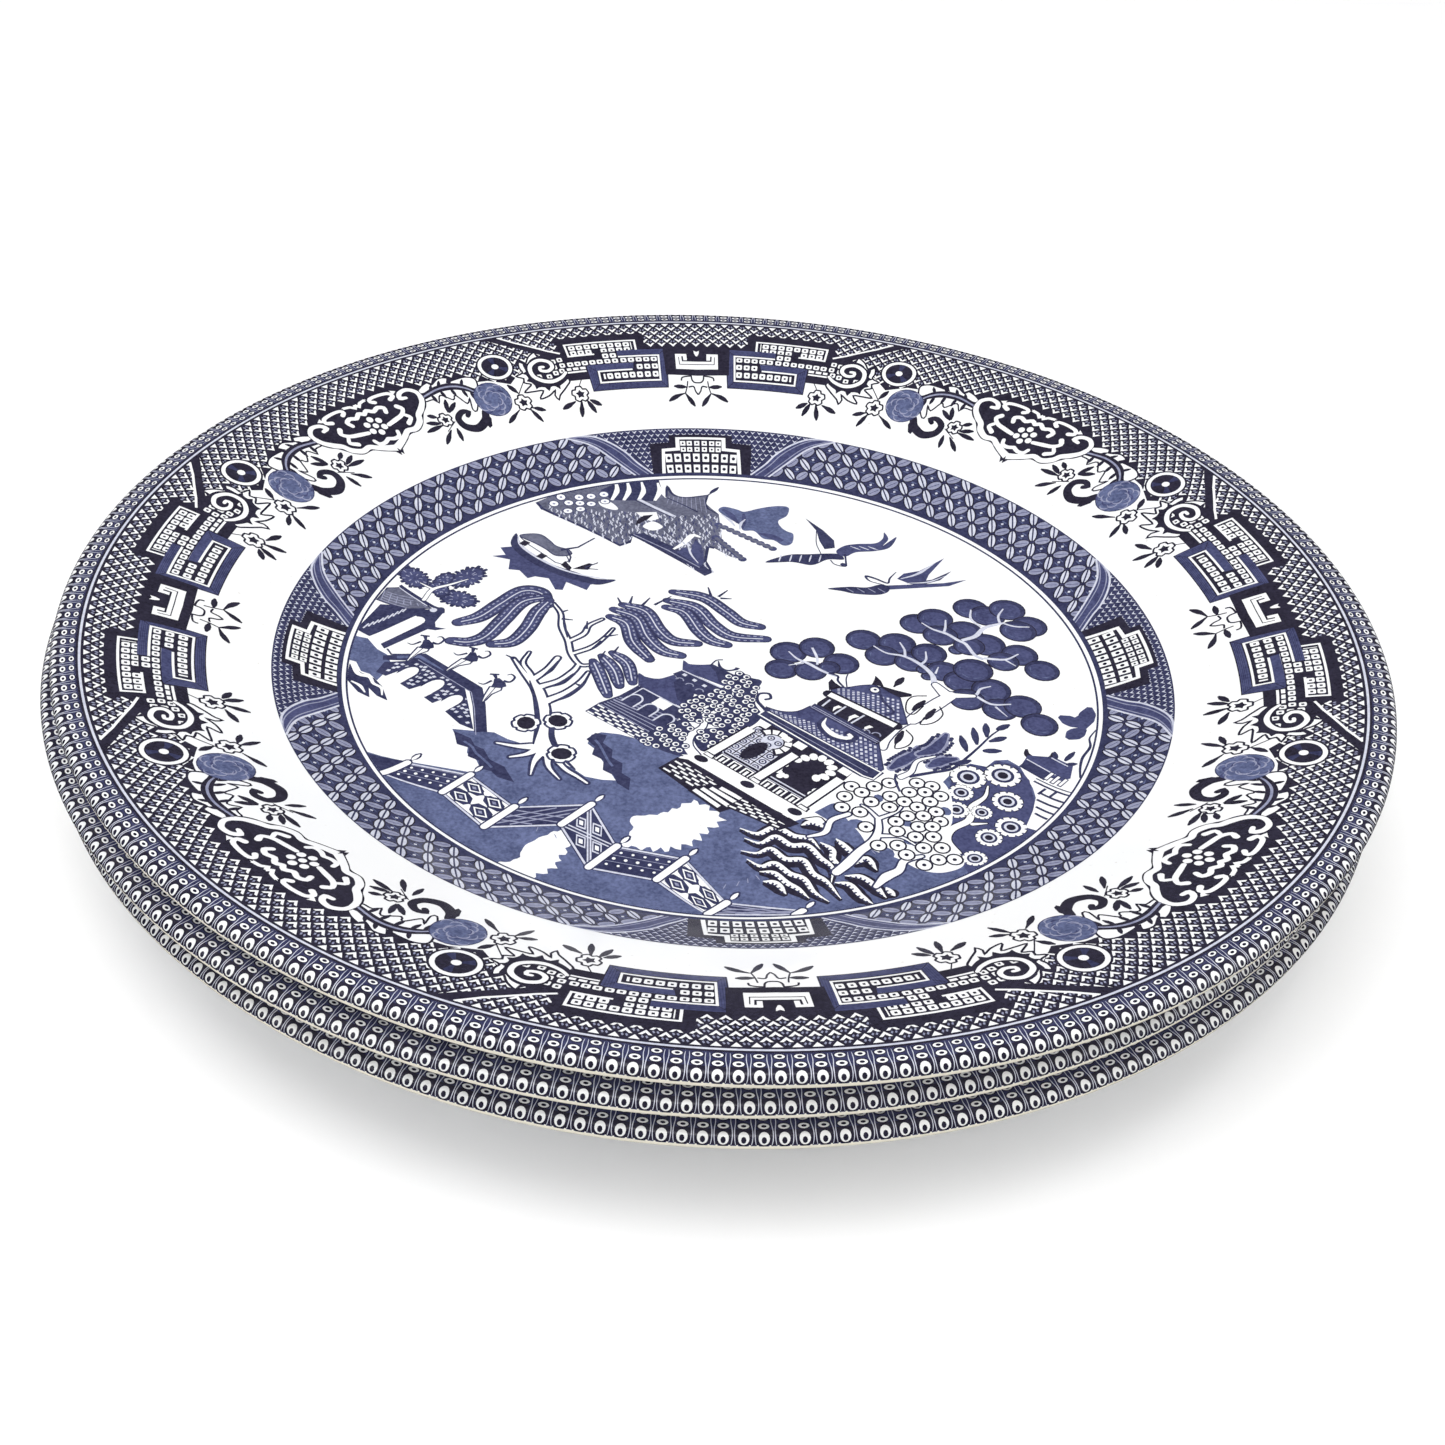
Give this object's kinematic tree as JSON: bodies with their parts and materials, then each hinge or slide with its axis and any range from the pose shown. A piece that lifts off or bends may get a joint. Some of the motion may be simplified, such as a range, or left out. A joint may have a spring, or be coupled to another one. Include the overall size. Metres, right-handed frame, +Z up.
{
  "type": "dinner plate stack",
  "caption": "Nested stack of round dinner plates in glazed blue and white china, each with a flat well, a sloping shoulder, a rolled edge and a foot ring; each plate lifts off the one below.",
  "frame": {"origin": "middle of the stack's footprint, on the surface it stands on", "axes": "+Z up, along the plates' common turning axis; -Y towards the viewer, with the pattern of the top plate upright"},
  "size_m": [0.2618, 0.2592, 0.0385],
  "materials": {
    "glazed_china": "glossy white glaze over a cobalt blue printed pattern"
  },
  "bodies": {
    "plate_bottom": {"plate_bottom": "glazed_china"},
    "plate_middle": {"plate_middle": "glazed_china"},
    "plate_top": {"plate_top": "glazed_china"}
  },
  "joints": [
    {"name": "lift_middle", "type": "slide", "parent": "plate_bottom", "child": "plate_middle", "axis": [0, 0, 1], "range_m": [0, 0.08]},
    {"name": "lift_top", "type": "slide", "parent": "plate_middle", "child": "plate_top", "axis": [0, 0, 1], "range_m": [0, 0.08]}
  ]
}
